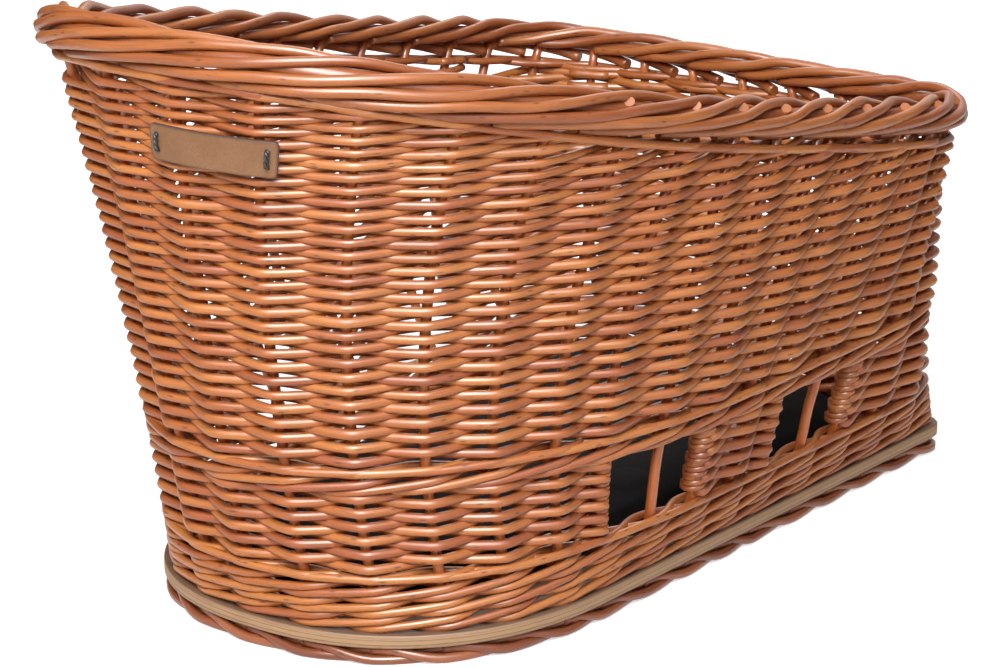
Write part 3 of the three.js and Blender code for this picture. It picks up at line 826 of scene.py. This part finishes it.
def foot_border():
    axis_z = BOARD_BOTTOM / 2
    rods = []
    for station in range(STAKES):
        t = np.linspace(-FOOT_PAST, FOOT_RODS + FOOT_PAST, FOOT_STEPS)
        at = station + t
        turn = math.pi / 2 - 2 * math.pi * t / FOOT_RODS
        thick = FOOT_ROD * dice.uniform(*FOOT_GIRTH)
        ends = np.minimum(t - t[0], t[-1] - t)
        spread = FOOT_ROD / math.sqrt(3) * (1 - FOOT_GATHER * (1 - smooth(0, FOOT_RUN, ends)))
        foot = wall_middle(at, np.full(len(t), BOARD_TOP))
        out = wall_out(at, np.full(len(t), BOARD_TOP))
        points = foot + out * (WALL_INSET - FOOT_INSET + spread * np.cos(turn))[:, None]
        lift = 2 * ((1 + np.sin(turn)) / 2) ** FOOT_SAG - 1
        points[:, 2] = np.maximum(axis_z + spread * lift, thick / 2)
        rods.append(rod(points, thick / 2))
    piece = rods_object("foot_border_rods", rods, foot_willow, FOOT_SIDES)
    return settle(piece, "basket", "foot_willow", "foot_border")


# Board, label and cushion
def plywood():
    """Birch plywood: a beige cut edge with thin glue lines along it and a darker ledge on top, where the
    wall stands on it.
    """
    material, shader = new_material("birch_plywood")
    place = add_node(material, "ShaderNodeTexCoord").outputs["Object"]
    height = add_node(material, "ShaderNodeSeparateXYZ", Vector=place).outputs["Z"]
    layer = rescaled(material, height, BOARD_BOTTOM, BOARD_TOP, 0.0, 1.0)
    layers = colour_ramp(material, [
        (0.0, "#8A684A"), (0.2, "#A6825E"), (0.3, "#78583C"), (0.34, "#AA8660"), (0.58, "#A8845E"),
        (0.62, "#76563A"), (0.67, "#A6825C"), (0.93, "#967252"), (0.985, "#6A4C34"),
    ], layer)
    streak = noise(material, stretched(material, place, 14 * MM, 14 * MM, 0.7 * MM), 3.0, Scale=1.0)
    tint = lightened(material, layers, rescaled(material, streak, 0.25, 0.75, 0.8, 1.12))
    feed(material, shader, Base_Color=tint, Roughness=0.62, Normal=relief(material, streak, 0.3, 0.3 * MM))
    return material


BOARD_POINTS = 240
BOARD_EASE = 1.2 * MM  # its eased edge
BOARD_SHARP = math.radians(40)  # edges above this angle count as sharp


def select_only(piece):
    bpy.ops.object.select_all(action="DESELECT")
    piece.select_set(True)
    bpy.context.view_layer.objects.active = piece


def apply_modifiers(piece):
    select_only(piece)
    for modifier in list(piece.modifiers):
        bpy.ops.object.modifier_apply(modifier=modifier.name)


def board():
    bpy.ops.object.select_all(action="DESELECT")
    bpy.ops.mesh.primitive_circle_add(vertices=BOARD_POINTS, fill_type="NGON")
    piece = bpy.context.object
    piece.name = "base_board_ply"
    for vertex, place in zip(piece.data.vertices, board_outline.at(np.arange(BOARD_POINTS) / BOARD_POINTS)):
        vertex.co = (*place, BOARD_BOTTOM)
    bpy.ops.object.mode_set(mode="EDIT")
    bpy.ops.mesh.select_all(action="SELECT")
    bpy.ops.mesh.extrude_region_move(TRANSFORM_OT_translate={"value": (0, 0, BOARD_TOP - BOARD_BOTTOM)})
    bpy.ops.mesh.select_all(action="SELECT")
    bpy.ops.mesh.normals_make_consistent(inside=False)
    bpy.ops.object.mode_set(mode="OBJECT")
    eased = piece.modifiers.new("eased_edge", "BEVEL")
    eased.width = BOARD_EASE
    eased.segments = 3
    eased.limit_method = "ANGLE"
    eased.angle_limit = BOARD_SHARP
    apply_modifiers(piece)
    bpy.ops.object.shade_smooth_by_angle(angle=BOARD_SHARP)
    piece.data.materials.append(plywood())
    return settle(piece, "basket", "plywood", "base_board")


LABEL_LENGTH = 73 * MM
LABEL_HEIGHT = 20.5 * MM
LABEL_CORNER = 3 * MM
LABEL_THICKNESS = 2.2 * MM
LABEL_MIDDLE = 305 * MM
LABEL_STATION = 0.515
LABEL_TILT = 0.03  # radians, its end along +station lower
LABEL_BACK = 7.7 * MM  # from the middle of the wall to its back
LABEL_EASE = 0.35 * MM
LABEL_SHARP = math.radians(50)
LABEL_BURNISH = (0.82, 1.0)  # where its face starts to darken, and is darkest, towards its edge
LACE = 1.5 * MM
LACE_INSET = 5.2 * MM
LACE_STITCH = 10 * MM
LACE_DEPTH = 1.6 * MM  # how far its ends go into the label
LACE_SHOULDER = 0.72  # where along half a stitch it leaves the label
LACE_CROWN = 1.15  # its height at the middle, beside its thickness
LACE_FLAT = 0.6  # height of its twist beside the width
LACE_TURNS = 3.5
LACE_SIDES = 8
LACE_STEPS = 8


def label_point(along, up, offset):
    """A place on the label: along it from its middle, up it, and out from the middle of the wall."""
    along, up = np.asarray(along, float), np.asarray(up, float)
    bay = bay_length(LABEL_STATION, LABEL_MIDDLE)
    level = along * math.cos(LABEL_TILT) + up * math.sin(LABEL_TILT)
    z = LABEL_MIDDLE - along * math.sin(LABEL_TILT) + up * math.cos(LABEL_TILT)
    return wall_point(LABEL_STATION + level / bay, z, np.asarray(offset) + 0 * along)


def leather():
    """Vegetable-tanned leather: a matt tan face with a fine grain and darker, burnished edges."""
    material, shader = new_material("tan_leather")
    place = add_node(material, "ShaderNodeTexCoord").outputs["Object"]
    grain = noise(material, place, 4.0, Scale=1 / (1.2 * MM), Roughness=0.6)
    cloud = noise(material, place, 2.0, Scale=1 / (18 * MM))
    both = add_node(material, "ShaderNodeMath", {"operation": "MULTIPLY"}, i0=grain, i1=cloud)
    mottle = both.outputs["Value"]
    rim = add_node(material, "ShaderNodeAttribute", {"attribute_name": "label_edge"}).outputs["Fac"]
    face = colour_ramp(material, [(0.1, "#744C2A"), (0.25, "#7E5430"), (0.42, "#88603C")], mottle)
    tint = mixed(material, rim, face, "#4A2C1A")
    feed(material, shader, Base_Color=tint, Roughness=0.6, Normal=relief(material, grain, 0.35, 0.2 * MM))
    return material


def label():
    bpy.ops.object.select_all(action="DESELECT")
    bpy.ops.mesh.primitive_grid_add(x_subdivisions=48, y_subdivisions=16, size=1)
    piece = bpy.context.object
    piece.name = "leather_label_patch"
    flat = np.array([vertex.co[:2] for vertex in piece.data.vertices]) * (LABEL_LENGTH, LABEL_HEIGHT)
    heart = np.array((LABEL_LENGTH, LABEL_HEIGHT)) / 2 - LABEL_CORNER
    over = np.maximum(np.abs(flat) - heart, 0)
    square = over.max(1)
    round_off = np.where(square > 0, square / np.maximum(np.linalg.norm(over, axis=1), 1e-9), 1)
    flat = np.where(over > 0, np.sign(flat) * (heart + over * round_off[:, None]), flat)
    edge = np.maximum(np.linalg.norm(over * round_off[:, None], axis=1) / LABEL_CORNER, 0)
    places = label_point(flat[:, 0], flat[:, 1], LABEL_BACK)
    for vertex, place in zip(piece.data.vertices, places):
        vertex.co = place
    shade = piece.data.attributes.new("label_edge", "FLOAT", "POINT")
    shade.data.foreach_set("value", smooth(*LABEL_BURNISH, edge).astype(np.float32))
    thick = piece.modifiers.new("hide", "SOLIDIFY")
    thick.thickness = LABEL_THICKNESS
    thick.offset = 1
    eased = piece.modifiers.new("burnished_edge", "BEVEL")
    eased.width = LABEL_EASE
    eased.segments = 2
    apply_modifiers(piece)
    bpy.ops.object.shade_smooth_by_angle(angle=LABEL_SHARP)
    piece.data.materials.append(leather())
    return settle(piece, "basket", "label_leather", "leather_label")


def lace_cord():
    """Waxed black cotton lace: dark, with a faint sheen on its twist."""
    material, shader = new_material("waxed_lace")
    feed(material, shader, Base_Color=linear("#17130F"), Roughness=0.45)
    return material


def laces():
    black = lace_cord()
    face = LABEL_BACK + LABEL_THICKNESS
    for name, way in (("label_lace_left", 1), ("label_lace_right", -1)):
        half = LACE_STITCH / 2
        turns = [
            (-half, face - LACE_DEPTH), (-half, face),
            (-LACE_SHOULDER * half, face + LACE), (0, face + LACE_CROWN * LACE),
        ]
        turns = turns + [(-up, out) for up, out in turns[-2::-1]]
        line = through(turns, LACE_STEPS)
        twist = np.linspace(0, 2 * math.pi * LACE_TURNS, len(line))
        strands = []
        for start in (0, math.pi):
            along = way * (LABEL_LENGTH / 2 - LACE_INSET) + LACE / 2 * np.cos(twist + start)
            out = line[:, 1] + LACE / 2 * np.sin(twist + start) * LACE_FLAT
            strands.append(rod(label_point(along, line[:, 0], out), LACE / 2))
        settle(rods_object(name + "_cord", strands, black, LACE_SIDES), "basket", "lace", name)


PAD_SHRINK = (0.985, 0.965, 0.86)  # the pad before it is stuffed, beside its solid
PAD_CORNER = 80.6 * MM  # size of the back corners that are made squarer
PAD_VOXEL = 5 * MM
PAD_MOVE = 6 * MM  # the most that stuffing moves its cover
PAD_PRESSURE = 4
PAD_FRAMES = 20


def black_cloth():
    """Black polyester canvas: nearly matt, with a fine weave and soft creases."""
    material, shader = new_material("black_canvas")
    place = add_node(material, "ShaderNodeTexCoord").outputs["Object"]
    weave = noise(material, place, 2.0, Scale=1 / (0.8 * MM))
    crease = noise(material, place, 2.0, Scale=1 / (42 * MM), Distortion=1.2)
    tint = colour_ramp(material, [(0.3, "#080707"), (0.7, "#100E0E")], weave)
    creased = relief(material, crease, 0.5, 4 * MM)
    woven = relief(material, weave, 0.3, 0.3 * MM, Normal=creased)
    feed(material, shader, Base_Color=tint, Roughness=0.9, Normal=woven, Specular_IOR_Level=0.2)
    return material


def squarer_corners(places, high):
    """Fills out the round back corners of the pad."""
    into = np.stack([places[:, 0] - high.x, np.abs(places[:, 1]) - high.y], -1) + PAD_CORNER
    square = np.linalg.norm(into, axis=1) / np.maximum(np.linalg.norm(into, 4, axis=1), 1e-9)
    fuller = np.where(into.min(1) > 0, square, 1) - 1
    places[:, 0] += into[:, 0] * fuller
    places[:, 1] += into[:, 1] * fuller * np.sign(places[:, 1])


def cushion():
    solid = bpy.data.objects["floor_cushion"]
    piece = bpy.data.objects.new("floor_cushion_pad", solid.data.copy())
    bpy.context.scene.collection.objects.link(piece)
    select_only(piece)
    bpy.ops.object.mode_set(mode="EDIT")
    bpy.ops.mesh.select_all(action="SELECT")
    bpy.ops.mesh.remove_doubles(threshold=0.01 * MM)
    bpy.ops.object.mode_set(mode="OBJECT")
    low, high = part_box("floor_cushion")
    middle = np.array((low + high) / 2)
    middle[2] = low.z
    places = np.array([vertex.co for vertex in piece.data.vertices])
    squarer_corners(places, high)
    places = middle + (places - middle) * PAD_SHRINK
    piece.data.vertices.foreach_set("co", places.astype(np.float32).ravel())
    piece.data.remesh_voxel_size = PAD_VOXEL
    bpy.ops.object.voxel_remesh()
    swell(piece, low.z)
    piece.modifiers.new("soft", "SUBSURF").levels = 1
    piece.modifiers["soft"].render_levels = 1
    apply_modifiers(piece)
    bpy.ops.object.shade_smooth()
    piece.data.materials.clear()
    piece.data.materials.append(black_cloth())
    return settle(piece, "cushion", "cushion_cloth", "floor_cushion")


def swell(piece, floor):
    """Fills the pad by cloth simulation, with a cap on how far it grows and a flat underside."""
    before = np.array([vertex.co for vertex in piece.data.vertices])
    cloth = piece.modifiers.new("stuffing", "CLOTH")
    cloth.settings.use_pressure = True
    cloth.settings.uniform_pressure_force = PAD_PRESSURE
    cloth.settings.effector_weights.gravity = 0
    scene = bpy.context.scene
    for step in range(1, PAD_FRAMES + 1):
        scene.frame_set(step)
    filled = piece.evaluated_get(bpy.context.evaluated_depsgraph_get())
    after = np.array([vertex.co for vertex in filled.data.vertices])
    piece.modifiers.remove(cloth)
    scene.frame_set(1)
    move = after - before
    length = np.linalg.norm(move, axis=1, keepdims=True)
    move = move * np.minimum(1, PAD_MOVE / np.maximum(length, 1e-9))
    after = before + move
    after[:, 2] = np.maximum(after[:, 2], floor)
    piece.data.vertices.foreach_set("co", after.astype(np.float32).ravel())
    piece.data.update()


# Studio: a pale floor and a white world, which light the basket less than they show
FLOOR_GLOW = 0.62  # added to the floor where it is seen
WORLD_LIGHT = 0.16  # strength of the white world as a light
WHITE = (1, 1, 1, 1)
FLOOR_SIZE = 12
FLAG_SIZE = 1.4
BASKET = (-0.1, 0, 0.2)  # where the two lamps in front aim


def seen_rays(material):
    """1 for what the camera sees, also in reflections and through clear things, and 0 for light."""
    path = add_node(material, "ShaderNodeLightPath")
    seen = path.outputs["Is Camera Ray"]
    for ray in ("Is Glossy Ray", "Is Transmission Ray"):
        seen = add_node(
            material, "ShaderNodeMath", {"operation": "MAXIMUM"}, i0=seen, i1=path.outputs[ray]
        ).outputs["Value"]
    return seen


def pale_floor():
    bpy.ops.object.select_all(action="DESELECT")
    bpy.ops.mesh.primitive_plane_add(size=FLOOR_SIZE, location=(0, 0, 0))
    floor = bpy.context.object
    floor.name = "studio_floor"
    material, shader = new_material("studio_floor")
    glow = rescaled(material, seen_rays(material), 0.0, 1.0, 0.0, FLOOR_GLOW)
    feed(material, shader, Base_Color=linear("#DCDCDC"), Roughness=0.9)
    feed(material, shader, Emission_Color=WHITE, Emission_Strength=glow)
    floor.data.materials.append(material)


def white_world():
    world = bpy.data.worlds.new("studio_white")
    bpy.context.scene.world = world
    world.use_nodes = True
    background = world.node_tree.nodes["Background"]
    strength = rescaled(world, seen_rays(world), 0.0, 1.0, WORLD_LIGHT, 1.0)
    feed(world, background, Color=WHITE, Strength=strength)


def soft_light(name, place, target, size, power):
    """A rectangular lamp that faces target. Metres and watts."""
    lamp = bpy.data.lights.new(name, "AREA")
    lamp.shape = "RECTANGLE"
    lamp.size, lamp.size_y = size
    lamp.energy = power
    light = bpy.data.objects.new(name, lamp)
    light.location = place
    light.rotation_euler = (Vector(target) - Vector(place)).to_track_quat("-Z", "Y").to_euler()
    bpy.context.scene.collection.objects.link(light)
    return light


def black_flag(name, place):
    """A dark card beside the picture, seen only in reflections. It keeps the basket's edges from going
    pale."""
    bpy.ops.object.select_all(action="DESELECT")
    turn = (Vector((0, 0, place[2])) - Vector(place)).to_track_quat("Z", "Y").to_euler()
    bpy.ops.mesh.primitive_plane_add(size=FLAG_SIZE, location=place, rotation=turn)
    flag = bpy.context.object
    flag.name = name
    flag.visible_camera = False
    flag.visible_shadow = False
    flag.visible_diffuse = False
    material, shader = new_material(name)
    feed(material, shader, Base_Color=linear("#141414"), Roughness=0.9)
    flag.data.materials.append(material)


def camera():
    lens = bpy.data.cameras.new("photo_camera")
    lens.sensor_width = SENSOR
    lens.lens = LENS
    seat = bpy.data.objects.new("photo_camera", lens)
    look = Vector((
        math.cos(CAMERA_PITCH) * math.cos(CAMERA_HEADING),
        math.cos(CAMERA_PITCH) * math.sin(CAMERA_HEADING),
        -math.sin(CAMERA_PITCH),
    ))
    seat.location = CAMERA_PLACE
    seat.rotation_euler = look.to_track_quat("-Z", "Y").to_euler()
    bpy.context.scene.collection.objects.link(seat)
    bpy.context.scene.camera = seat


camera()
bpy.context.scene.view_settings.view_transform = "Standard"
white_world()
pale_floor()
soft_light("key_softbox", (-1.61, -0.78, 1.8), BASKET, (1.2, 1.4), 80)
# Lights only the satin highlights of the rods
sheen = soft_light("sheen_softbox", (-1.25, -1.12, 1.75), BASKET, (0.9, 1.4), 170)
sheen.visible_diffuse = False
soft_light("back_softbox", (1.2, 0.9, 1.5), (0.1, 0, 0.25), (0.9, 0.9), 14)
black_flag("black_flag_left", (0.15, 1.0, 0.7))
black_flag("black_flag_right", (1.05, -0.8, 0.7))

upper_weave()
window_panels()
wales()
stakes()
rim_border()
foot_border()
board()
label()
laces()
cushion()
